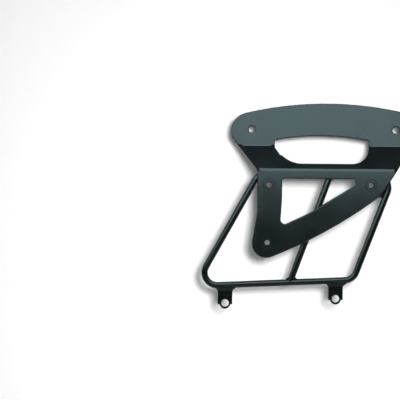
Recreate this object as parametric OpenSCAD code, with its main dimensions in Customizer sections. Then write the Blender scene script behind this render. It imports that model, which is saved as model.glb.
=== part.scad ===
// Pannier frame for the side of a motorcycle: a stamped, stepped steel side plate, a hoop of
// round bar behind it, a centre strut, two hanging lugs, threaded inserts and their welds.
// It stands as it is bolted on: +Z up, +X to the right seen from outside, outside towards -Y.
// The origin is midway between the two upper bolt holes, on the face that meets the motorcycle.

/* [Side plate] */
// Thickness of the plate
plate_t = 4; // [3:0.5:5]
// Distance between the two upper bolt holes
bolt_pitch = 238; // [226:1:250]
// Diameter of the upper bolt holes
bolt_hole_d = 11; // [8.5:0.5:13]
// From each upper bolt hole to the end of the upper flange
end_margin = 34.5; // [30:0.5:40]
// Height of the arched top edge above the bolt holes, at the middle
arch_rise = 43.5; // [38:0.5:50]
// Radius of the arched top edge
arch_r = 575; // [450:5:800]
// From the centre to the arch's highest point
arch_offset = 6; // [0:0.5:12]
// Radius of the upper flange's two ends
end_r = 30.5; // [24:0.5:33]
// How far the lower plate stands out in front of the upper flange
step_depth = 28; // [20:0.5:34]
// Slope of the web between them, from the vertical
web_angle = 35; // [30:0.5:42]
// Inside radius of both press bends
bend_inside_r = 5; // [3:0.5:7]
// From the upper bolt holes down to the start of the upper bend
upper_bend_drop = 25; // [22:0.5:28]

/* [Lower plate] */
// Width of the lower plate's left band, beside the window
left_band = 41; // [34:0.5:44]
// Width of the lower plate's sloping band, under the window
lower_band = 37.1; // [32:0.5:42]
// Height of the band between the lower bend and the window
top_band = 12.3; // [12:0.1:14]
// Radius of the nose around the low insert
nose_r = 25; // [20:0.5:28]
// Slope of the plate's long lower edge, where it meets the elbow
long_edge_rise = 36; // [34.5:0.1:37.5]
// Slope of the window's long edge
window_edge_rise = 31.5; // [30:0.1:33]
// Slope of the short edge next to the nose
short_edge_rise = 22; // [19:0.5:25]
// Lean of the flank above the nose
flank_lean = 9.5; // [8:0.5:11]

/* [Hand slot] */
// Left end of the slot, from the centre
slot_left = 81.2; // [76:0.2:86]
// Right end of the slot, from the centre
slot_right = 74.6; // [68:0.2:82]
// Web left between the slot and the lower bend
slot_sill = 13; // [9:0.2:15]
// Highest point of the slot's arched top, below the bolt holes
slot_crown_drop = 10.4; // [8:0.2:12]

/* [Threaded inserts] */
// Thread size of the inserts
insert_thread = 10; // [8:1:10]
// Diameter of an insert's raised collar
collar_d = 20; // [17:0.5:22]
// Height of the collar above the plate
collar_h = 1.4; // [1:0.1:2]
// Diameter of the barrel through the plate
barrel_d = 14; // [13:0.5:15]
// Length of the barrel behind the plate
barrel_reach = 9; // [6:0.5:12]
// Clearance all round a barrel in its hole
barrel_clearance = 0.1; // [0.05:0.05:0.2]
// Left insert of the upper row, from the centre
insert_left = 91; // [88:0.5:94]
// Right insert of the upper row, from the centre
insert_right = 77; // [72:0.5:80]
// Upper row of inserts, below the lower bend
insert_drop = 22.1; // [20:0.1:24]
// Low insert, below the upper row
low_insert_drop = 95.5; // [88:0.5:100]
// Low insert, to the left of the left insert
low_insert_offset = 2.3; // [0:0.1:4]

/* [Hoop and strut] */
// Diameter of the round bar
bar_d = 11; // [8:0.5:12]
// Centre-line radius of the hoop's bends
bar_bend_r = 21; // [17:0.5:23]
// From the lower bend down to the top rail's centre line
top_rail_drop = 5.3; // [5.2:0.1:6]
// Top left corner of the hoop's centre line, from the centre
hoop_top_left = 108.8; // [102:0.2:109]
// Top right corner of the hoop's centre line, from the centre
hoop_top_right = 115.2; // [112:0.2:118]
// Bottom left corner of the hoop's centre line, from the centre
hoop_bottom_left = 211.6; // [200:0.2:220]
// Bottom right corner of the hoop's centre line, from the centre
hoop_bottom_right = 48.8; // [44:0.2:56]
// From the top rail down to the bottom left corner
hoop_height = 185; // [174:0.5:195]
// Rise of the bottom rail from left to right
bottom_rail_rise = 12; // [6:0.1:16]
// Foot of the strut on the bottom rail, from the centre
strut_foot = 55.4; // [48:0.2:60]
// Head of the strut on the top rail, from the centre
strut_head = 10.2; // [6:0.2:16]

/* [Lugs] */
// Left lug's hole, from the centre
left_lug_x = 162; // [150:1:168]
// Right lug's hole, from the centre
right_lug_x = 20; // [12:1:26]
// Width of a lug
lug_w = 24; // [21:0.5:28]
// Thickness of a lug
lug_t = 4; // [3:0.5:5]
// Diameter of a lug's hole
lug_hole_d = 12.2; // [10:0.1:13]
// From the bottom rail's centre line down to a lug's hole
lug_drop = 29.6; // [26:0.2:34]
// Metal left round the lower half of a lug's hole
lug_nose_wall = 3; // [2.4:0.1:4]

/* [Corner gusset] */
// Thickness of the gusset
gusset_t = 3; // [2:0.5:4]
// From the hoop's top right corner down the right rail to the gusset's end
gusset_reach = 43; // [41:0.5:46]

/* [Welds] */
// Leg of a weld on a bar
weld_leg = 3; // [2:0.2:3.4]
// Leg of the welds at the strut's two ends
strut_weld_leg = 4.4; // [3:0.2:6]
// Length of each stitch of weld on the top rail
stitch_length = 24; // [16:1:26]
// Gap left between pieces that are welded together
weld_gap = 0.05; // [0.02:0.01:0.1]

/* [Hidden] */
$fn = 72;

coat_colour = "#2b3236";
bar_colour = "#16191b";
insert_colour = "#3b4548";
weld_colour = "#22272a";

// Largest distance between a drawn arc and the true one
arc_tolerance = 0.03;
// Length that takes a cut well past the metal
beyond = 20;
// Metal draws down by this much in a bend, and the straights run this far into it
bend_thinning = 0.015;
sheet_run_in = 0.2;
bar_run_in = 0.4;

// Side view of the step: heights above the mounting face are h, drops below the bolt holes are z
bend_outside_r = bend_inside_r + plate_t;
bend_mid_r = bend_inside_r + plate_t / 2;
web_length = (step_depth - 2 * bend_mid_r * (1 - cos(web_angle))) / sin(web_angle);
step_drop = 2 * bend_mid_r * sin(web_angle) + web_length * cos(web_angle);
upper_bend_z = -upper_bend_drop;
lower_bend_z = upper_bend_z - step_drop;
plate_back_h = step_depth;
plate_front_h = step_depth + plate_t;

// Upper flange: the arch touches each end's arc in one tangent
flange_half = bolt_pitch / 2 + end_margin;
arch_centre = [arch_offset, arch_rise - arch_r];
left_slope = asin((flange_half + arch_offset - end_r) / (arch_r - end_r));
right_slope = asin((flange_half - arch_offset - end_r) / (arch_r - end_r));
left_tangent = on_arc(arch_centre, arch_r, -left_slope);
right_tangent = on_arc(arch_centre, arch_r, right_slope);
arch_apex = meet(left_tangent, left_slope, right_tangent, -right_slope);
left_shoulder = meet(left_tangent, left_slope, [-flange_half, 0], 90);
right_shoulder = meet(right_tangent, -right_slope, [flange_half, 0], 90);
left_end_h = 33.2;
right_end_h = 38.2;
left_heel = left_shoulder - [0, left_end_h];
right_heel = right_shoulder - [0, right_end_h];
heel_r = 11;

// Threaded inserts
insert_row_z = lower_bend_z - insert_drop;
upper_left_insert_at = [-insert_left, insert_row_z];
upper_right_insert_at = [insert_right, insert_row_z];
lower_insert_at = [-insert_left - low_insert_offset, insert_row_z - low_insert_drop];
thread_pitch = insert_thread > 8 ? 1.5 : 1.25;
thread_core_d = insert_thread - thread_pitch;
thread_mouth_d = insert_thread + 0.8;
collar_bevel_share = 0.7;
collar_bevel = collar_bevel_share * collar_h;
barrel_edge = 0.6;
barrel_hole_d = barrel_d + 2 * barrel_clearance;

// Lower plate's outline, from the inserts that it carries
left_edge_margin = 19.3;
waist_x = -insert_left - left_edge_margin;
waist_rise = 1.9;
waist_r = 15;
waist_z = lower_bend_z + waist_rise;
elbow_from_insert = [17, -16.9];
elbow_r = 60;
elbow = [insert_right, insert_row_z] + elbow_from_insert;
nose_tuck = 0.6;
nose_bulge = 1.5;
flank_normal = [-cos(flank_lean), sin(flank_lean)];
short_edge_normal = [sin(short_edge_rise), -cos(short_edge_rise)];
long_edge_normal = [sin(long_edge_rise), -cos(long_edge_rise)];
flank_touch = lower_insert_at + nose_r * flank_normal;
short_edge_touch = lower_insert_at + (nose_r - nose_tuck) * short_edge_normal;
nose_corner = meet(flank_touch, 90 - flank_lean, short_edge_touch, short_edge_rise);
hip = meet([waist_x, 0], 90, flank_touch, 90 - flank_lean);
knee = meet(short_edge_touch, short_edge_rise, elbow, long_edge_rise);
hip_r = 100;

// The knee's arc takes nearly all of the lower edge between the nose and the elbow
nose_half = (90 - flank_lean - short_edge_rise) / 2;
nose_arc_r = nose_r - nose_bulge;
heel_angle = atan2(right_heel[1] - elbow[1], right_heel[0] - elbow[0]);
knee_half = (long_edge_rise - short_edge_rise) / 2;
knee_share = 0.96;
knee_run = min(
    norm(knee - nose_corner) - nose_arc_r / tan(nose_half),
    norm(elbow - knee) - elbow_r * tan((heel_angle - long_edge_rise) / 2)
);
knee_r = knee_share * knee_run / tan(knee_half);

// Window in the lower plate
window_top_z = lower_bend_z - top_band;
window_left_x = waist_x + left_band;
window_edge_normal = [sin(window_edge_rise), -cos(window_edge_rise)];
window_long_edge_at = elbow - lower_band * window_edge_normal;
window_short_edge_rise = 25.2;
window_knee_back = 30;
window_knee_x = knee[0] - window_knee_back;
window_knee = meet([window_knee_x, 0], 90, window_long_edge_at, window_edge_rise);
window_foot_out = 2.9;
window_foot_x = window_left_x - window_foot_out;
window_foot = meet([window_foot_x, 0], 90, window_knee, window_short_edge_rise);
window_hip_drop = 20.5;
window_hip = [window_left_x, insert_row_z - window_hip_drop];
window_tip_back = 26.3;
window_tip_x = insert_right - window_tip_back;
window_side_r = 150;
window_corner_r = 3;
window_foot_r = 7;
window_tip_r = 3;
window_tip_low = meet([window_tip_x, 0], 90, window_long_edge_at, window_edge_rise);

// Hand slot through the flange and the web
slot_floor_z = lower_bend_z + slot_sill;
slot_crown_x = -4;
slot_crown_r = 400;
slot_corner_r = 3;
slot_centre = [slot_crown_x, -slot_crown_drop - slot_crown_r];
slot_left_slope = asin((slot_left + slot_crown_x - slot_corner_r) / (slot_crown_r - slot_corner_r));
slot_right_slope = asin((slot_right - slot_crown_x - slot_corner_r) / (slot_crown_r - slot_corner_r));
slot_left_tangent = on_arc(slot_centre, slot_crown_r, -slot_left_slope);
slot_right_tangent = on_arc(slot_centre, slot_crown_r, slot_right_slope);
slot_apex = meet(slot_left_tangent, slot_left_slope, slot_right_tangent, -slot_right_slope);
slot_left_top = meet(slot_left_tangent, slot_left_slope, [-slot_left, 0], 90);
slot_right_top = meet(slot_right_tangent, -slot_right_slope, [slot_right, 0], 90);
slot_ramp_run = 25;
slot_ramp_rise = 25.6;
slot_ramp_r = 9;
slot_left_floor_r = 48;
slot_right_floor_r = 28;

// Hoop of round bar, in a plane that touches the back of the lower plate
bar_r = bar_d / 2;
bar_h = plate_back_h - bar_r - weld_gap;
top_rail_z = lower_bend_z - top_rail_drop;
bottom_left_z = top_rail_z - hoop_height;
hoop_corners = [
    [-hoop_top_left, top_rail_z],
    [-hoop_bottom_left, bottom_left_z],
    [hoop_bottom_right, bottom_left_z + bottom_rail_rise],
    [hoop_top_right, top_rail_z]
];
bottom_rail_angle = atan2(bottom_rail_rise, hoop_bottom_left + hoop_bottom_right);
right_rail_angle = atan2(hoop_corners[3][1] - hoop_corners[2][1], hoop_corners[3][0] - hoop_corners[2][0]);

// Strut between the two rails
strut_foot_at = [-strut_foot, bottom_rail_z(-strut_foot)];
strut_head_at = [strut_head, top_rail_z];
strut_angle = atan2(strut_head_at[1] - strut_foot_at[1], strut_head_at[0] - strut_foot_at[0]);

// Lugs
lug_nose_r = lug_hole_d / 2 + lug_nose_wall;
lug_nose_drop = 0.3;
lug_shoulder_drop = 2.3;
lug_corner_r = 1.2;
lug_flare = 5.6;
lug_flare_fill = 0.3;

// Gusset in the hoop's top right corner
gusset_overlap = 2.4;
gusset_edge_x = elbow[0] - gusset_overlap;
gusset_end_slope = 35;

// Welds: a bead's edge is a little blunt, and tucks in behind the bar's widest line
weld_toe = 0.3;
weld_tuck = 0.4;
lug_flare_r = 2.7;
strut_weld_inset = 1.2;
gusset_weld_end = 1;
lug_bead_share = 0.8;
gusset_bead_share = 0.7;
gusset_bead_tuck = 1;
butt_weld_x = -48;
butt_weld_w = 5;
butt_weld_h = 0.7;
stitch_centres = [-76, -8 - stitch_length / 2, 34, 66];

function unit(v) = v / norm(v);

// Where the line through p at angle a crosses the line through q at angle b
function meet(p, a, q, b) =
    let (da = [cos(a), sin(a)], db = [cos(b), sin(b)], gap = q - p)
    p + da * (gap[0] * db[1] - gap[1] * db[0]) / (da[0] * db[1] - da[1] * db[0]);

// Point on the arc about c, at angle a to the right of its top
function on_arc(c, r, a) = c + r * [sin(a), cos(a)];

// Centre line of the bottom rail at x
function bottom_rail_z(x) = bottom_left_z + (x + hoop_bottom_left) * tan(bottom_rail_angle);

// Arc that rounds the corner at c, between the sides to p and to n
function corner_arc(p, c, n, r) =
    let (
        to_p = unit(p - c),
        to_n = unit(n - c),
        half = acos(max(-1, min(1, to_p * to_n))) / 2,
        centre = c + unit(to_p + to_n) * r / sin(half),
        start = c + to_p * r / tan(half) - centre,
        turn = sign(to_n[0] * to_p[1] - to_n[1] * to_p[0]) * (180 - 2 * half),
        steps = max(2, ceil(abs(turn) / (2 * acos(1 - arc_tolerance / r)))),
        from = atan2(start[1], start[0])
    )
    [for (i = [0 : steps]) centre + r * [cos(from + turn * i / steps), sin(from + turn * i / steps)]];

// Outline with every corner rounded; each corner is [x, z, radius]
function rounded(corners) =
    let (count = len(corners))
    [for (i = [0 : count - 1])
        let (
            before = corners[(i + count - 1) % count],
            here = corners[i],
            after = corners[(i + 1) % count]
        )
        each corner_arc([before[0], before[1]], [here[0], here[1]], [after[0], after[1]], here[2])
    ];

plate_outline = [
    [arch_apex[0], arch_apex[1], arch_r],
    [left_shoulder[0], left_shoulder[1], end_r],
    [left_heel[0], left_heel[1], heel_r],
    [waist_x, waist_z, waist_r],
    [hip[0], hip[1], hip_r],
    [nose_corner[0], nose_corner[1], nose_arc_r],
    [knee[0], knee[1], knee_r],
    [elbow[0], elbow[1], elbow_r],
    [right_heel[0], right_heel[1], heel_r],
    [right_shoulder[0], right_shoulder[1], end_r]
];

slot_outline = [
    [slot_apex[0], slot_apex[1], slot_crown_r],
    [slot_left_top[0], slot_left_top[1], slot_corner_r],
    [-slot_left, slot_floor_z + slot_ramp_rise, slot_ramp_r],
    [-slot_left + slot_ramp_run, slot_floor_z, slot_left_floor_r],
    [slot_right, slot_floor_z, slot_right_floor_r],
    [slot_right_top[0], slot_right_top[1], slot_corner_r]
];

window_outline = [
    [window_left_x, window_top_z, window_corner_r],
    [window_hip[0], window_hip[1], window_side_r],
    [window_foot[0], window_foot[1], window_foot_r],
    [window_knee[0], window_knee[1], window_side_r],
    [window_tip_low[0], window_tip_low[1], window_tip_r],
    [window_tip_x, window_top_z, window_tip_r]
];

// Turns the drawing plane upright: drawn x stays, drawn y becomes z, drawn height faces outside
module stand_up() {
    rotate([90, 0, 0]) children();
}

// Extrudes a side view drawn as [z, h] across the width, about x = 0
module across(width) {
    rotate([90, 0, 90]) linear_extrude(width, center = true) children();
}

// Quarter-ring piece of a press bend, between two angles
module bend_section(centre, from, to) {
    reach = 2 * bend_outside_r;
    translate(centre) intersection() {
        difference() {
            circle(bend_outside_r - bend_thinning);
            circle(bend_inside_r + bend_thinning);
        }
        polygon([[0, 0], reach * [cos(from), sin(from)], reach * [cos(to), sin(to)]]);
    }
}

// Side view of the stepped sheet, drawn as [z, h]
module step_section() {
    top = arch_rise + beyond;
    foot = -lower_insert_at[1] + nose_r + beyond;
    translate([upper_bend_z - sheet_run_in, 0]) square([top - upper_bend_z + sheet_run_in, plate_t]);
    translate([-foot, plate_back_h]) square([foot + lower_bend_z + sheet_run_in, plate_t]);
    bend_section([upper_bend_z, bend_outside_r], 270 - web_angle, 270);
    bend_section([lower_bend_z, plate_back_h - bend_inside_r], 90 - web_angle, 90);
    translate([upper_bend_z, bend_outside_r] + bend_outside_r * [cos(270 - web_angle), sin(270 - web_angle)])
        rotate(180 - web_angle) translate([-sheet_run_in, -plate_t])
            square([web_length + 2 * sheet_run_in, plate_t]);
}

// Pressed side plate: arched flange, sloping web and lower plate in one sheet
module side_plate() {
    width = 2 * (flange_half + beyond);
    color(coat_colour) stand_up() difference() {
        intersection() {
            across(width) step_section();
            translate([0, 0, -beyond]) linear_extrude(plate_front_h + 2 * beyond) difference() {
                polygon(rounded(plate_outline));
                polygon(rounded(slot_outline));
                polygon(rounded(window_outline));
            }
        }
        for (side = [-1, 1])
            translate([side * bolt_pitch / 2, 0, -beyond]) cylinder(h = plate_t + 2 * beyond, d = bolt_hole_d);
        for (at = [upper_left_insert_at, upper_right_insert_at, lower_insert_at])
            translate([at[0], at[1], plate_back_h - beyond]) cylinder(h = 2 * beyond + plate_t, d = barrel_hole_d);
    }
}

// Straight round bar in the drawing plane, from a to b
module bar_between(a, b) {
    along = b - a;
    translate([a[0], a[1], bar_h]) rotate([0, 0, atan2(along[1], along[0])])
        rotate([0, 90, 0]) cylinder(h = norm(along), d = bar_d);
}

// Closed loop of round bar through the corners, bent at each one
module bar_loop(corners) {
    count = len(corners);
    for (i = [0 : count - 1]) {
        before = corners[(i + count - 1) % count];
        here = corners[i];
        after = corners[(i + 1) % count];
        beyond_corner = corners[(i + 2) % count];
        back = unit(before - here);
        ahead = unit(after - here);
        half = acos(back * ahead) / 2;
        next_half = acos(unit(here - after) * unit(beyond_corner - after)) / 2;
        centre = here + unit(back + ahead) * bar_bend_r / sin(half);
        from = here + back * bar_bend_r / tan(half) - centre;
        translate([centre[0], centre[1], bar_h]) rotate([0, 0, atan2(from[1], from[0])])
            rotate_extrude(angle = 180 - 2 * half) translate([bar_bend_r, 0]) circle(bar_r - bend_thinning);
        bar_between(
            here + ahead * (bar_bend_r / tan(half) - bar_run_in),
            after - ahead * (bar_bend_r / tan(next_half) - bar_run_in)
        );
    }
}

// Hoop that holds the pannier away from the wheel
module hoop_bar() {
    color(bar_colour) stand_up() bar_loop(hoop_corners);
}

// Full length of the top or bottom rail, grown by the welding gap, as a cutter
module rail_cutter(a, b) {
    along = b - a;
    translate([a[0], a[1], bar_h]) rotate([0, 0, atan2(along[1], along[0])])
        rotate([0, 90, 0]) cylinder(h = norm(along), r = bar_r + weld_gap);
}

module top_rail_cutter() {
    rail_cutter(hoop_corners[0], hoop_corners[3]);
}

module bottom_rail_cutter() {
    rail_cutter(hoop_corners[1], hoop_corners[2]);
}

// Strut, its ends coped to sit on the rails
module centre_strut() {
    color(bar_colour) stand_up() difference() {
        bar_between(strut_foot_at, strut_head_at);
        top_rail_cutter();
        bottom_rail_cutter();
    }
}

// Lug's outline round its hole, with the top end inside the rail
module lug_outline() {
    top = lug_drop;
    polygon(rounded([
        [-lug_w / 2, top, lug_corner_r],
        [-lug_w / 2, -lug_shoulder_drop, lug_corner_r],
        [lug_w / 2, -lug_shoulder_drop, lug_corner_r],
        [lug_w / 2, top, lug_corner_r]
    ]));
    translate([0, -lug_nose_drop]) circle(lug_nose_r);
}

// Lug that hangs under the bottom rail, for a bolt or a quick-release pin
module lug(x) {
    hole_z = bottom_rail_z(x) - lug_drop;
    color(bar_colour) stand_up() difference() {
        translate([x, hole_z, bar_h - lug_t / 2]) linear_extrude(lug_t) lug_outline();
        translate([x, hole_z, bar_h - lug_t]) cylinder(h = 2 * lug_t, d = lug_hole_d);
        bottom_rail_cutter();
    }
}

// Threaded insert, seated on the front of the lower plate
module insert(at) {
    rear = plate_back_h - barrel_reach;
    seat = plate_front_h;
    top = seat + collar_h;
    core_r = thread_core_d / 2;
    mouth_r = thread_mouth_d / 2;
    mouth_depth = mouth_r - core_r;
    color(insert_colour) stand_up() translate([at[0], at[1], 0]) rotate_extrude() polygon([
        [core_r + barrel_edge, rear],
        [barrel_d / 2 - barrel_edge, rear],
        [barrel_d / 2, rear + barrel_edge],
        [barrel_d / 2, seat],
        [collar_d / 2, seat],
        [collar_d / 2, top - collar_bevel],
        [collar_d / 2 - collar_bevel, top],
        [mouth_r, top],
        [core_r, top - mouth_depth],
        [core_r, rear + barrel_edge]
    ]);
}

// Gusset inside the bend of the hoop's top right corner
module corner_gusset() {
    corner = hoop_corners[3];
    rail = [cos(right_rail_angle), sin(right_rail_angle)];
    inner = bar_r + weld_gap;
    end = corner - gusset_reach * rail + inner * [-rail[1], rail[0]];
    free_edge_z = end[1] + (end[0] - gusset_edge_x) * tan(gusset_end_slope);
    turn_half = right_rail_angle / 2;
    bend_centre = corner + bar_bend_r / sin(turn_half) * [-cos(turn_half), -sin(turn_half)];
    color(coat_colour) stand_up() translate([0, 0, bar_h - gusset_t / 2]) linear_extrude(gusset_t)
        intersection() {
            polygon([
                [gusset_edge_x, top_rail_z - inner],
                [gusset_edge_x, free_edge_z],
                end,
                corner + inner * [-rail[1], rail[0]],
                [corner[0], top_rail_z - inner]
            ]);
            translate(bend_centre) {
                circle(bar_bend_r - inner);
                rotate(right_rail_angle - 90) translate([-3 * beyond, -4 * beyond])
                    square([6 * beyond, 4 * beyond]);
            }
        }
}

// Bead between the top rail and the back of the plate, on both sides of the rail
module top_rail_weld(x) {
    reach = bar_r + weld_leg / 2;
    color(weld_colour) stand_up() translate([x, 0, 0]) across(stitch_length) difference() {
        for (side = [-1, 1])
            translate([top_rail_z, 0]) polygon([
                [0, plate_back_h],
                [side * reach, plate_back_h],
                [side * (reach - weld_toe), plate_back_h - weld_leg / 2],
                [side * (bar_r - weld_tuck / 2), bar_h]
            ]);
        translate([top_rail_z, bar_h]) circle(bar_r + weld_gap);
        step_section();
    }
}

// Ring of weld that closes the hoop, ground flush where the plate lies on it
module hoop_butt_weld() {
    color(weld_colour) stand_up() difference() {
        translate([butt_weld_x, top_rail_z, bar_h]) rotate([0, 90, 0])
            cylinder(h = butt_weld_w, r = bar_r + butt_weld_h, center = true);
        top_rail_cutter();
        translate([butt_weld_x, top_rail_z, plate_back_h - weld_gap])
            linear_extrude(beyond) square(4 * bar_d, center = true);
    }
}

// Weld that fills the two corners between an end of the strut and its rail
module strut_weld(at, angle, rail_angle) {
    reach = 2 * bar_r + strut_weld_leg;
    depth = 2 * (bar_r - strut_weld_inset);
    up = reach * [cos(angle), sin(angle)];
    along = reach * [cos(rail_angle), sin(rail_angle)];
    color(weld_colour) stand_up() difference() {
        translate([at[0], at[1], bar_h - depth / 2]) linear_extrude(depth) polygon([-along, up, along]);
        translate([at[0], at[1], bar_h]) rotate([0, 0, angle]) rotate([0, 90, 0])
            translate([0, 0, -beyond]) cylinder(h = 3 * beyond, r = bar_r + weld_gap);
        top_rail_cutter();
        bottom_rail_cutter();
    }
}

// Weld between a lug and the bottom rail, with a flare at each side
module lug_weld(x) {
    rail_z = bottom_rail_z(x);
    throat = bar_r + lug_flare;
    half_w = lug_w / 2 + lug_flare;
    flare_x = lug_flare_fill * lug_flare;
    bead_half = lug_t / 2 + lug_bead_share * weld_leg;
    color(weld_colour) stand_up() difference() {
        intersection() {
            translate([x, rail_z, bar_h - bar_r]) linear_extrude(bar_d) polygon(rounded([
                [-half_w, 0, weld_toe],
                [-half_w, -bar_r + weld_tuck, weld_toe],
                [-lug_w / 2 - flare_x, -bar_r - flare_x, lug_flare_r],
                [-lug_w / 2, -throat, weld_toe],
                [lug_w / 2, -throat, weld_toe],
                [lug_w / 2 + flare_x, -bar_r - flare_x, lug_flare_r],
                [half_w, -bar_r + weld_tuck, weld_toe],
                [half_w, 0, weld_toe]
            ]));
            translate([x, 0, 0]) across(4 * lug_w) polygon([
                [rail_z, bar_h - bar_r + weld_tuck],
                [rail_z - bar_r, bar_h - bead_half],
                [rail_z - throat, bar_h - lug_t / 2],
                [rail_z - throat, bar_h + lug_t / 2],
                [rail_z - bar_r, bar_h + bead_half],
                [rail_z, bar_h + bar_r - weld_tuck]
            ]);
        }
        translate([x, rail_z - lug_drop, bar_h - lug_t / 2 - weld_gap])
            linear_extrude(lug_t + 2 * weld_gap) square([lug_w + 2 * weld_gap, 3 * lug_drop], center = true);
        bottom_rail_cutter();
        translate([x - lug_w, rail_z, 0]) rotate([0, 0, bottom_rail_angle]) cube([3 * lug_w, beyond, beyond * 3]);
    }
}

// Beads along both faces of the gusset, where it meets the right rail
module gusset_rail_weld() {
    corner = hoop_corners[3];
    rail = [cos(right_rail_angle), sin(right_rail_angle)];
    bend_end = bar_bend_r / tan(right_rail_angle / 2);
    length = gusset_reach - bend_end - 2 * gusset_weld_end;
    start = corner - (gusset_reach - gusset_weld_end) * rail;
    face = gusset_t / 2 + weld_gap;
    leg = gusset_bead_share * weld_leg;
    tuck = bar_r - gusset_bead_tuck;
    color(weld_colour) stand_up() translate([start[0], start[1], bar_h]) rotate([0, 0, right_rail_angle])
        rotate([90, 0, 90]) linear_extrude(length) difference() {
            for (side = [-1, 1])
                polygon([
                    [tuck, side * face],
                    [bar_r + leg, side * face],
                    [tuck, side * (face + leg)]
                ]);
            circle(bar_r + weld_gap);
        }
}

side_plate();
hoop_bar();
centre_strut();
lug(-left_lug_x);  // left_lug
lug(right_lug_x);  // right_lug
insert(upper_left_insert_at);  // upper_left_insert
insert(upper_right_insert_at);  // upper_right_insert
insert(lower_insert_at);  // lower_insert
corner_gusset();
top_rail_weld(stitch_centres[0]);  // top_rail_weld_1
top_rail_weld(stitch_centres[1]);  // top_rail_weld_2
top_rail_weld(stitch_centres[2]);  // top_rail_weld_3
top_rail_weld(stitch_centres[3]);  // top_rail_weld_4
hoop_butt_weld();
strut_weld(strut_head_at, strut_angle + 180, 0);  // strut_head_weld
strut_weld(strut_foot_at, strut_angle, bottom_rail_angle);  // strut_foot_weld
lug_weld(-left_lug_x);  // left_lug_weld
lug_weld(right_lug_x);  // right_lug_weld
gusset_rail_weld();
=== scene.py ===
"""Pannier frame in satin black powder coat, hung in front of a white studio backdrop.

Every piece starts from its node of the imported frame, in metres, +Z up and the outside towards -Y.
"""
import math

import bmesh
import bpy
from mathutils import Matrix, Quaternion, Vector


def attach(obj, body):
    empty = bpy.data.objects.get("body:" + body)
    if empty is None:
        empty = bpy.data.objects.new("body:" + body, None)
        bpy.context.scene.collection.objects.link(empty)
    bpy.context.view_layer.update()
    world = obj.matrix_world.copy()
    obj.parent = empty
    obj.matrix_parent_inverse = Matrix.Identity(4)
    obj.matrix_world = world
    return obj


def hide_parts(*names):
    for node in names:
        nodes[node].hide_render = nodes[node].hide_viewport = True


MM = 0.001

# The photograph: its width in pixels, the scale on the plate, and what its middle looks at
PHOTO_WIDTH_PX = 400
MM_PER_PX = 1.65
AIM = Vector((-0.2044, -0.018, -0.1178))
CAMERA_DISTANCE = 4.0
CAMERA_ROLL_DEG = 0.45
SENSOR_MM = 36.0

# Studio: the wall behind the frame, the floor below it, how far they reach and what glows
WALL_Y = 0.03
FLOOR_Z = -0.5
STAGE_REACH = 6.0
WALL_GLOW = 0.05
FLOOR_GLOW = 0.0
WORLD_GLOW = 0.08

# Powder coat: patches of thicker and thinner coat, what they do to it, and its orange peel
PATCH_MM = 38
PATCH_ROUGHNESS = 0.03
PATCH_SHADE = 0.88
PEEL_STRENGTH = 0.35

# A node's loose triangles are joined at points this close, into faces this level
SAME_POINT_MM = 0.002
SAME_PLANE_DEG = 0.2

# Edges of the pieces, rounded by the coat
PLATE_EDGE_MM = 1.9
BAR_EDGE_MM = 0.4
INSERT_EDGE_MM = 0.15
EDGE_STEPS = 4
SHARP_DEG = 30

# The plate's web slopes by 35 degrees, and its bends' faces lean less than the web does. They are
# cut into lengths that the rounded edges can't warp
WEB_NORMAL_Y = math.cos(math.radians(35))
WEB_NORMAL_PLAY = 0.004
FLAT_NORMAL_Y = 0.9995
BEND_CUT_MM = 6
BEND_CUTS_EACH_WAY = 25
ON_CUT_MM = 0.0001
WEB_END_MM = 70
SLIVER_MM = 0.02

# M10 x 1.5 thread in the inserts' plain bores, which stand at its core diameter
THREAD_CORE_MM = 4.25
THREAD_DEPTH_MM = 0.7
THREAD_PITCH_MM = 1.5
THREAD_RUN_OUT_MM = 0.9
THREAD_FACETS = 56
THREAD_RINGS = 72
# Where a flank leaves its crest and meets its root, in pitches from the crest's middle
THREAD_CREST = 0.07
THREAD_ROOT = 0.44
BORE_MM = 12.65
BORE_MID_Y = -0.025925
INSERTS = {
    "upper_left_insert": (-0.091, -0.091502),
    "upper_right_insert": (0.077, -0.091502),
    "lower_insert": (-0.0933, -0.187002),
}

# Ripples that the torch leaves on a bead: they bow across it and drift a little along it
RIPPLE_PITCH_MM = 1.75
RIPPLE_DEPTH_MM = 0.3
RIPPLE_BOW_PER_M = 25.0
RIPPLE_DRIFT_MM = 0.5
RIPPLE_DRIFT_LENGTH_MM = 6
BEAD_GRAIN_MM = 0.32
FIRST_SEED = 4.0
# The butt weld's ripples run round the bar, a whole number of them
RING_WELD = "hoop_butt_weld"
RING_RADIUS_MM = 6.2
RING_PITCH_MM = math.tau * RING_RADIUS_MM / 22
# The way that each weld runs
RAIL_WAY = Vector((0.182, 0.0, 0.0084)).normalized()
GUSSET_WAY = Vector((0.52, 0.0, 0.854)).normalized()
WELD_WAYS = {
    "top_rail_weld_1": Vector((1, 0, 0)), "top_rail_weld_2": Vector((1, 0, 0)),
    "top_rail_weld_3": Vector((1, 0, 0)), "top_rail_weld_4": Vector((1, 0, 0)),
    "hoop_butt_weld": Vector((0, 0, 1)),
    "strut_head_weld": Vector((0, 1, 0)), "strut_foot_weld": Vector((0, 1, 0)),
    "left_lug_weld": RAIL_WAY, "right_lug_weld": RAIL_WAY, "gusset_rail_weld": GUSSET_WAY,
}

# Sockets of the Mix node that share a name with others
MIX_NUMBER_A, MIX_NUMBER_B = 2, 3
MIX_COLOUR_A, MIX_COLOUR_B, MIX_COLOUR_RESULT = 6, 7, 2

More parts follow.
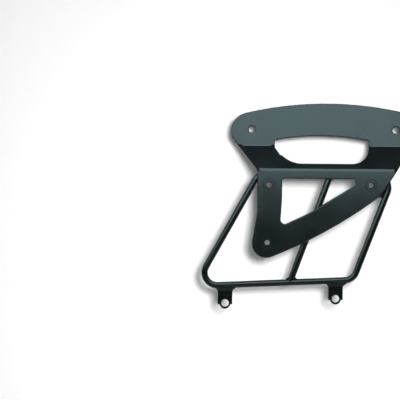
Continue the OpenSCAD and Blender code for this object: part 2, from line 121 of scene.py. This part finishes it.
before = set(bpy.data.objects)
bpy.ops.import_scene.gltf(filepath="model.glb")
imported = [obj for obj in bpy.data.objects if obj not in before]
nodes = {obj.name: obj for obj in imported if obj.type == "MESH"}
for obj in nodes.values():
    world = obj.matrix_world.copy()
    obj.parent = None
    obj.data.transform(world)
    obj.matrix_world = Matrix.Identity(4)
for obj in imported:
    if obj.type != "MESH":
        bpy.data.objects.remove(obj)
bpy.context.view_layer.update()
scene = bpy.context.scene


def hex_colour(text):
    """sRGB hex as linear red, green, blue and alpha."""
    parts = [int(text[i:i + 2], 16) / 255 for i in (1, 3, 5)]
    linear = [c / 12.92 if c <= 0.04045 else ((c + 0.055) / 1.055) ** 2.4 for c in parts]
    return (*linear, 1.0)


def add(tree, kind, inputs=None, **settings):
    """Adds a node with its settings; each input is given a value or joined to a socket."""
    made = tree.nodes.new(kind)
    for name, value in settings.items():
        setattr(made, name, value)
    for name, value in (inputs or {}).items():
        if isinstance(value, bpy.types.NodeSocket):
            tree.links.new(value, made.inputs[name])
        else:
            made.inputs[name].default_value = value
    return made


def maths(tree, operation, *values):
    """Maths node on its values, and the number that it gives."""
    return add(tree, "ShaderNodeMath", dict(enumerate(values)), operation=operation).outputs[0]


def vectors(tree, operation, *values, gives=0):
    """Vector maths node on its values, and what it gives."""
    made = add(tree, "ShaderNodeVectorMath", dict(enumerate(values)), operation=operation)
    return made.outputs[gives]


def new_material(name):
    """Empty node material and its tree."""
    material = bpy.data.materials.new(name)
    material.use_nodes = True
    material.node_tree.nodes.clear()
    return material, material.node_tree


def powder_coat(name, colour, roughness, peel_mm, peel_depth_mm, sheen_tint):
    """Baked polyester powder: a dark base under a satin skin with a fine orange peel."""
    material, tree = new_material(name)
    place = add(tree, "ShaderNodeTexCoord").outputs["Object"]
    peel = add(tree, "ShaderNodeTexNoise", {
        "Vector": place, "Scale": 1 / (peel_mm * MM), "Detail": 3.0, "Roughness": 0.55,
    })
    patches = add(tree, "ShaderNodeTexNoise", {
        "Vector": place, "Scale": 1 / (PATCH_MM * MM), "Detail": 2.0, "Roughness": 0.5,
    })
    rough = add(tree, "ShaderNodeMapRange", {
        "Value": patches.outputs["Fac"], "From Min": 0.3, "From Max": 0.7,
        "To Min": roughness - PATCH_ROUGHNESS, "To Max": roughness + PATCH_ROUGHNESS,
    })
    darker = tuple(PATCH_SHADE * c for c in hex_colour(colour)[:3]) + (1.0,)
    tone = add(tree, "ShaderNodeMix", {
        "Factor": patches.outputs["Fac"], MIX_COLOUR_A: darker, MIX_COLOUR_B: hex_colour(colour),
    }, data_type="RGBA")
    bump = add(tree, "ShaderNodeBump", {
        "Strength": PEEL_STRENGTH, "Distance": peel_depth_mm * MM, "Height": peel.outputs["Fac"],
    })
    coat = add(tree, "ShaderNodeBsdfPrincipled", {
        "Base Color": tone.outputs[MIX_COLOUR_RESULT],
        "Roughness": rough.outputs["Result"],
        "Normal": bump.outputs["Normal"],
        "Metallic": 0.0,
        "IOR": 1.5,
        "Specular Tint": hex_colour(sheen_tint),
    })
    add(tree, "ShaderNodeOutputMaterial", {"Surface": coat.outputs["BSDF"]})
    return material


# Sheet steel in satin powder coat: dark grey green, and flat faces that carry a soft sheen
PLATE_COAT = powder_coat(
    "satin_powder_coat_on_sheet", "#0c1011", roughness=0.25, peel_mm=1.6, peel_depth_mm=0.05,
    sheen_tint="#cdf2f8")
# The same coat on round bar: its curve gathers the light into one narrow line
BAR_COAT = powder_coat(
    "satin_powder_coat_on_bar", "#080a0b", roughness=0.20, peel_mm=1.3, peel_depth_mm=0.03,
    sheen_tint="#cdeeee")
# The coat over filler metal: thicker in the hollows, so a little smoother
WELD_COAT = powder_coat(
    "satin_powder_coat_on_weld", "#090b0c", roughness=0.22, peel_mm=1.0, peel_depth_mm=0.04,
    sheen_tint="#cdeeee")
# The coat on turned steel: thin over a machined face, with bright bevels
INSERT_COAT = powder_coat(
    "satin_powder_coat_on_turned_steel", "#0c1011", roughness=0.25, peel_mm=1.1,
    peel_depth_mm=0.03, sheen_tint="#cdf2f8")


def merged_copy(name, node):
    """The node's own mesh with its loose triangles joined and its flat faces made whole."""
    mesh = nodes[node].data.copy()
    mesh.name = name
    joined = bmesh.new()
    joined.from_mesh(mesh)
    bmesh.ops.remove_doubles(joined, verts=joined.verts, dist=SAME_POINT_MM * MM)
    bmesh.ops.dissolve_limit(
        joined, angle_limit=math.radians(SAME_PLANE_DEG), verts=joined.verts, edges=joined.edges)
    joined.to_mesh(mesh)
    joined.free()
    obj = bpy.data.objects.new(name, mesh)
    scene.collection.objects.link(obj)
    return obj


def applied(obj):
    """Turns what the modifiers make into the object's plain mesh."""
    evaluated = obj.evaluated_get(bpy.context.evaluated_depsgraph_get())
    mesh = bpy.data.meshes.new_from_object(evaluated)
    obj.modifiers.clear()
    obj.data = mesh
    return obj


def on_bend(face):
    """Whether the face is one of a bend's narrow ones."""
    return WEB_NORMAL_Y + WEB_NORMAL_PLAY < abs(face.normal.y) < FLAT_NORMAL_Y


def on_web(face):
    """Whether the face is on the sloping web."""
    return abs(abs(face.normal.y) - WEB_NORMAL_Y) < WEB_NORMAL_PLAY


def is_sliver(face):
    """Whether the face has length but hardly any width, so that its normal says nothing."""
    return 2 * face.calc_area() / face.calc_perimeter() < SLIVER_MM * MM


def stays_sharp(edge):
    """Whether rounding would warp the sheet: at a bend, at a sliver and at the web's outer ends."""
    if any(on_bend(face) or is_sliver(face) for face in edge.link_faces):
        return True
    middle = (edge.verts[0].co + edge.verts[1].co) / 2
    return abs(middle.x) > WEB_END_MM * MM and any(on_web(face) for face in edge.link_faces)


def cut_bends(net):
    """Cuts the bends' long faces across, away from the corners that they have already."""
    ends = {vert.co.x for face in net.faces if on_bend(face) for vert in face.verts}
    for step in range(-BEND_CUTS_EACH_WAY, BEND_CUTS_EACH_WAY + 1):
        cut = step * BEND_CUT_MM * MM
        if min(abs(cut - end) for end in ends) > BEND_CUT_MM / 2 * MM:
            faces = [face for face in net.faces if on_bend(face)]
            parts = {part for face in faces for part in (*face.edges, *face.verts)}
            bmesh.ops.bisect_plane(
                net, geom=faces + list(parts), dist=ON_CUT_MM * MM,
                plane_co=(cut, 0, 0), plane_no=(1, 0, 0))


def weigh_edges(mesh):
    """Gives the bent sheet's sharp edges the weight that rounds them, apart from some."""
    net = bmesh.new()
    net.from_mesh(mesh)
    cut_bends(net)
    weight = net.edges.layers.float.new("bevel_weight_edge")
    for edge in net.edges:
        if len(edge.link_faces) == 2 and edge.calc_face_angle() > math.radians(SHARP_DEG):
            edge[weight] = 0.0 if stays_sharp(edge) else 1.0
    net.to_mesh(mesh)
    net.free()


def rounded_edges(obj, width_mm, bent_sheet=False):
    """Rounds the sharp edges and shades the rest smooth."""
    bevel = obj.modifiers.new("Rounded edges", "BEVEL")
    bevel.width = width_mm * MM
    bevel.segments = EDGE_STEPS
    bevel.limit_method = "ANGLE"
    bevel.angle_limit = math.radians(SHARP_DEG)
    bevel.miter_outer = "MITER_ARC"
    bevel.use_clamp_overlap = False
    if bent_sheet:
        weigh_edges(obj.data)
        bevel.limit_method = "WEIGHT"
    obj.data.polygons.foreach_set("use_smooth", [True] * len(obj.data.polygons))
    obj.data.set_sharp_from_angle(angle=math.radians(SHARP_DEG))
    weighted = obj.modifiers.new("Flat faces stay flat", "WEIGHTED_NORMAL")
    weighted.weight = 100
    return applied(obj)


def stand_for(obj, node, material):
    """The piece takes the node's place, with its material and slot."""
    obj.data.materials.clear()
    obj.data.materials.append(material)
    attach(obj, "root")
    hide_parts(node)


def coated(node, edge_mm, material, bent_sheet=False):
    """A node with rounded edges under its coat."""
    piece = rounded_edges(merged_copy(node + "_coated", node), edge_mm, bent_sheet)
    stand_for(piece, node, material)


def geometry_tree(name, inputs):
    """Geometry Nodes tree with a geometry in and out, and its named inputs with their defaults."""
    tree = bpy.data.node_groups.new(name, "GeometryNodeTree")
    tree.interface.new_socket("Geometry", in_out="INPUT", socket_type="NodeSocketGeometry")
    tree.interface.new_socket("Geometry", in_out="OUTPUT", socket_type="NodeSocketGeometry")
    for label, (kind, default) in inputs.items():
        socket = tree.interface.new_socket(label, in_out="INPUT", socket_type="NodeSocket" + kind)
        if default is not None:
            socket.default_value = default
    return tree, add(tree, "NodeGroupInput").outputs


def finished(tree, geometry, coat):
    """Ends the tree: real geometry in its coat."""
    real = add(tree, "GeometryNodeRealizeInstances", {"Geometry": geometry})
    dressed = add(tree, "GeometryNodeSetMaterial", {"Geometry": real.outputs[0], "Material": coat})
    add(tree, "NodeGroupOutput", {"Geometry": dressed.outputs[0]})
    return tree


def ripple_tree():
    """Bead of filler metal: the solid, laid down again as overlapping drops along its run."""
    tree, given = geometry_tree("weld_ripples", {
        "Centre": ("Vector", None), "Along": ("Vector", None), "Across": ("Vector", None),
        "Up": ("Vector", None), "Round": ("Float", 0.0),
        "Ring radius": ("Float", RING_RADIUS_MM * MM),
        "Ripple pitch": ("Float", RIPPLE_PITCH_MM * MM),
        "Ripple depth": ("Float", RIPPLE_DEPTH_MM * MM),
        "Bow": ("Float", RIPPLE_BOW_PER_M), "Unevenness": ("Float", RIPPLE_DRIFT_MM * MM),
        "Grain": ("Float", BEAD_GRAIN_MM * MM), "Seed": ("Float", FIRST_SEED),
        "Coat": ("Material", None),
    })
    cloud = add(tree, "GeometryNodeMeshToVolume", {
        "Mesh": given["Geometry"], "Voxel Size": given["Grain"],
        "Interior Band Width": given["Grain"],
    }, resolution_mode="VOXEL_SIZE")
    bead = add(tree, "GeometryNodeVolumeToMesh", {
        "Volume": cloud.outputs[0], "Voxel Size": given["Grain"], "Threshold": 0.1,
    }, resolution_mode="VOXEL_SIZE")
    place = vectors(
        tree, "SUBTRACT", add(tree, "GeometryNodeInputPosition").outputs[0], given["Centre"])
    along = vectors(tree, "DOT_PRODUCT", place, given["Along"], gives=1)
    across = vectors(tree, "DOT_PRODUCT", place, given["Across"], gives=1)
    up = vectors(tree, "DOT_PRODUCT", place, given["Up"], gives=1)
    turned = maths(tree, "MULTIPLY", maths(tree, "ARCTAN2", along, up), given["Ring radius"])
    run = add(tree, "ShaderNodeMix", {
        "Factor": given["Round"], MIX_NUMBER_A: along, MIX_NUMBER_B: turned}).outputs[0]
    bowed = maths(tree, "MULTIPLY_ADD", maths(tree, "MULTIPLY", across, across), given["Bow"], run)
    chance = add(tree, "ShaderNodeTexNoise", {
        "Vector": place, "W": given["Seed"], "Scale": 1 / (RIPPLE_DRIFT_LENGTH_MM * MM),
        "Detail": 1.0,
    }, noise_dimensions="4D")
    run = maths(tree, "MULTIPLY_ADD", chance.outputs["Fac"], given["Unevenness"], bowed)
    drops = maths(tree, "MULTIPLY", maths(tree, "DIVIDE", run, given["Ripple pitch"]), math.pi)
    valley = maths(tree, "SUBTRACT", 1.0, maths(tree, "ABSOLUTE", maths(tree, "SINE", drops)))
    inward = maths(tree, "MULTIPLY", maths(tree, "MULTIPLY", valley, given["Ripple depth"]), -1.0)
    move = add(tree, "ShaderNodeVectorMath", {
        0: add(tree, "GeometryNodeInputNormal").outputs[0], "Scale": inward}, operation="SCALE")
    rippled = add(tree, "GeometryNodeSetPosition", {
        "Geometry": bead.outputs[0], "Offset": move.outputs[0]})
    smooth = add(tree, "GeometryNodeSetShadeSmooth", {"Geometry": rippled.outputs[0]})
    return finished(tree, smooth.outputs[0], given["Coat"])


def thread_tree():
    """Cuts a thread: the plain bore's wall gives way to a helical groove round it."""
    tree, given = geometry_tree("insert_thread", {
        "Centre": ("Vector", None), "Length": ("Float", BORE_MM * MM),
        "Core radius": ("Float", THREAD_CORE_MM * MM),
        "Thread depth": ("Float", THREAD_DEPTH_MM * MM),
        "Pitch": ("Float", THREAD_PITCH_MM * MM), "Run-out": ("Float", THREAD_RUN_OUT_MM * MM),
        "Facets": ("Int", THREAD_FACETS), "Rings": ("Int", THREAD_RINGS),
        "Coat": ("Material", None),
    })
    # The bore's wall is what lies within the core's radius and faces away from its axis
    flat = (1.0, 0.0, 1.0)
    off = vectors(
        tree, "SUBTRACT", add(tree, "GeometryNodeInputPosition").outputs[0], given["Centre"])
    radius = vectors(tree, "LENGTH", vectors(tree, "MULTIPLY", off, flat), gives=1)
    level = vectors(
        tree, "LENGTH",
        vectors(tree, "MULTIPLY", add(tree, "GeometryNodeInputNormal").outputs[0], flat), gives=1)
    near = maths(tree, "LESS_THAN", radius, maths(tree, "MULTIPLY", given["Core radius"], 1.005))
    wall = maths(tree, "MULTIPLY", near, maths(tree, "GREATER_THAN", level, 0.9))
    body = add(tree, "GeometryNodeDeleteGeometry", {
        "Geometry": given["Geometry"], "Selection": wall}, domain="FACE")
    tube = add(tree, "GeometryNodeMeshCylinder", {
        "Vertices": given["Facets"], "Side Segments": given["Rings"],
        "Radius": given["Core radius"], "Depth": given["Length"]}, fill_type="NONE")
    inside = add(tree, "GeometryNodeFlipFaces", {"Mesh": tube.outputs["Mesh"]})
    here = add(tree, "GeometryNodeInputPosition").outputs[0]
    split = add(tree, "ShaderNodeSeparateXYZ", {"Vector": here}).outputs
    turn = maths(tree, "DIVIDE", maths(tree, "ARCTAN2", split["Y"], split["X"]), math.tau)
    phase = maths(tree, "SUBTRACT", maths(tree, "DIVIDE", split["Z"], given["Pitch"]), turn)
    flank = maths(tree, "PINGPONG", phase, 0.5)
    groove = add(tree, "ShaderNodeMapRange", {
        "Value": flank, "From Min": THREAD_CREST, "From Max": THREAD_ROOT}).outputs["Result"]
    half = maths(tree, "MULTIPLY", given["Length"], 0.5)
    left = maths(tree, "SUBTRACT", half, maths(tree, "ABSOLUTE", split["Z"]))
    fade = maths(tree, "MINIMUM", maths(tree, "DIVIDE", left, given["Run-out"]), 1.0)
    deep = maths(tree, "MULTIPLY", maths(tree, "MULTIPLY", groove, fade), given["Thread depth"])
    outward = vectors(tree, "NORMALIZE", vectors(tree, "MULTIPLY", here, (1.0, 1.0, 0.0)))
    move = add(tree, "ShaderNodeVectorMath", {0: outward, "Scale": deep}, operation="SCALE")
    cut = add(tree, "GeometryNodeSetPosition", {
        "Geometry": inside.outputs[0], "Offset": move.outputs[0]})
    smooth = add(tree, "GeometryNodeSetShadeSmooth", {"Geometry": cut.outputs[0]})
    seated = add(tree, "GeometryNodeTransform", {
        "Geometry": smooth.outputs[0], "Translation": given["Centre"],
        "Rotation": (math.pi / 2, 0.0, 0.0)})
    whole = add(tree, "GeometryNodeJoinGeometry", {"Geometry": body.outputs[0]})
    tree.links.new(seated.outputs[0], whole.inputs[0])
    return finished(tree, whole.outputs[0], given["Coat"])


def grown(obj, tree, values):
    """Runs the tree on the object with its inputs set, and keeps the mesh that it makes."""
    modifier = obj.modifiers.new(tree.name, "NODES")
    modifier.node_group = tree
    for item in tree.interface.items_tree:
        if item.in_out == "INPUT" and item.name in values:
            modifier[item.identifier] = values[item.name]
    return applied(obj)


coated("side_plate", PLATE_EDGE_MM, PLATE_COAT, bent_sheet=True)
for bar in ("hoop_bar", "centre_strut", "left_lug", "right_lug", "corner_gusset"):
    coated(bar, BAR_EDGE_MM, BAR_COAT)

threads = thread_tree()
for insert, (x, z) in INSERTS.items():
    turned_steel = rounded_edges(merged_copy(insert + "_threaded", insert), INSERT_EDGE_MM)
    threaded = grown(turned_steel, threads, {"Centre": (x, BORE_MID_Y, z), "Coat": INSERT_COAT})
    stand_for(threaded, insert, INSERT_COAT)

ripples = ripple_tree()
for number, (weld, way) in enumerate(WELD_WAYS.items()):
    bead = merged_copy(weld + "_rippled", weld)
    corners = [Vector(corner) for corner in bead.bound_box]
    centre = (corners[0] + corners[6]) / 2
    up = Vector((0, -1, 0)) if abs(way.y) < 0.5 else Vector((0, 0, 1))
    ring = weld == RING_WELD
    rippled_bead = grown(bead, ripples, {
        "Centre": tuple(centre),
        "Along": tuple(way), "Across": tuple(way.cross(up)), "Up": tuple(up),
        "Round": 1.0 if ring else 0.0,
        "Ripple pitch": (RING_PITCH_MM if ring else RIPPLE_PITCH_MM) * MM,
        "Seed": FIRST_SEED + number, "Coat": WELD_COAT,
    })
    stand_for(rippled_bead, weld, WELD_COAT)


def white_stage(name, corners, colour, glow):
    """Plain white sheet of the studio, seen only from its front, that keeps the shadow."""
    material, tree = new_material(name + "_paper")
    path = add(tree, "ShaderNodeLightPath").outputs
    seen = maths(tree, "MAXIMUM", path["Is Camera Ray"], path["Is Glossy Ray"])
    seen = maths(tree, "MAXIMUM", seen, path["Is Transmission Ray"])
    shine = maths(tree, "MULTIPLY", seen, glow)
    paper = add(tree, "ShaderNodeBsdfDiffuse", {"Color": hex_colour(colour)})
    lit = add(tree, "ShaderNodeEmission", {"Color": (1, 1, 1, 1), "Strength": shine})
    front = add(tree, "ShaderNodeAddShader", {0: paper.outputs[0], 1: lit.outputs[0]})
    behind = add(tree, "ShaderNodeNewGeometry").outputs["Backfacing"]
    mixed = add(tree, "ShaderNodeMixShader", {
        0: behind, 1: front.outputs[0], 2: add(tree, "ShaderNodeBsdfTransparent").outputs[0]})
    add(tree, "ShaderNodeOutputMaterial", {"Surface": mixed.outputs[0]})
    mesh = bpy.data.meshes.new(name)
    mesh.from_pydata(corners, [], [range(len(corners))])
    mesh.materials.append(material)
    obj = bpy.data.objects.new(name, mesh)
    scene.collection.objects.link(obj)


white_stage("backdrop", [
    (-STAGE_REACH, WALL_Y, FLOOR_Z), (STAGE_REACH, WALL_Y, FLOOR_Z),
    (STAGE_REACH, WALL_Y, STAGE_REACH), (-STAGE_REACH, WALL_Y, STAGE_REACH),
], "#fafafa", WALL_GLOW)
white_stage("floor", [
    (-STAGE_REACH, -STAGE_REACH, FLOOR_Z), (STAGE_REACH, -STAGE_REACH, FLOOR_Z),
    (STAGE_REACH, STAGE_REACH, FLOOR_Z), (-STAGE_REACH, STAGE_REACH, FLOOR_Z),
], "#e2e2e2", FLOOR_GLOW)


def softbox(name, place, aim, width, height, watts):
    """Rectangular studio lamp."""
    lamp = bpy.data.lights.new(name, "AREA")
    lamp.shape = "RECTANGLE"
    lamp.size, lamp.size_y = width, height
    lamp.energy = watts
    obj = bpy.data.objects.new(name, lamp)
    obj.location = place
    obj.rotation_mode = "QUATERNION"
    obj.rotation_quaternion = (Vector(aim) - Vector(place)).to_track_quat("-Z", "Y")
    scene.collection.objects.link(obj)
    return obj


# Two lamps close in front of the frame, which only give the coat its sheen
front = softbox(
    "front_softbox", place=(-0.235, -0.5, 0.116), aim=(-0.235, 0.0, 0.116),
    width=1.03, height=0.388, watts=4.5)
strip = softbox(
    "strip_lamp", place=(-0.235, -0.5, 0.46), aim=(-0.235, 0.0, 0.46),
    width=1.03, height=0.28, watts=5.6)
front.visible_diffuse = strip.visible_diffuse = False
# The far lamp that casts the shadow, and gives no sheen
key = softbox(
    "key_lamp", place=(0.40, -3.0, 0.34), aim=(-0.17, 0.0, -0.13),
    width=0.8, height=0.8, watts=8)
key.visible_glossy = False
# A grid on the lamp keeps its light off the floor, which would otherwise grey the black coat
key.data.spread = math.radians(50)

world = bpy.data.worlds.new("studio")
world.use_nodes = True
world.node_tree.nodes["Background"].inputs["Color"].default_value = (1, 1, 1, 1)
world.node_tree.nodes["Background"].inputs["Strength"].default_value = WORLD_GLOW
scene.world = world

camera = bpy.data.cameras.new("camera")
camera.sensor_width = SENSOR_MM
camera.lens = SENSOR_MM * CAMERA_DISTANCE / (PHOTO_WIDTH_PX * MM_PER_PX * MM)
camera.clip_end = 50
eye = bpy.data.objects.new("camera", camera)
eye.location = AIM - Vector((0, CAMERA_DISTANCE, 0))
eye.rotation_mode = "QUATERNION"
eye.rotation_quaternion = (
    Quaternion((1, 0, 0), math.radians(90)) @ Quaternion((0, 0, 1), math.radians(CAMERA_ROLL_DEG)))
scene.collection.objects.link(eye)
scene.camera = eye

scene.view_settings.view_transform = "Standard"
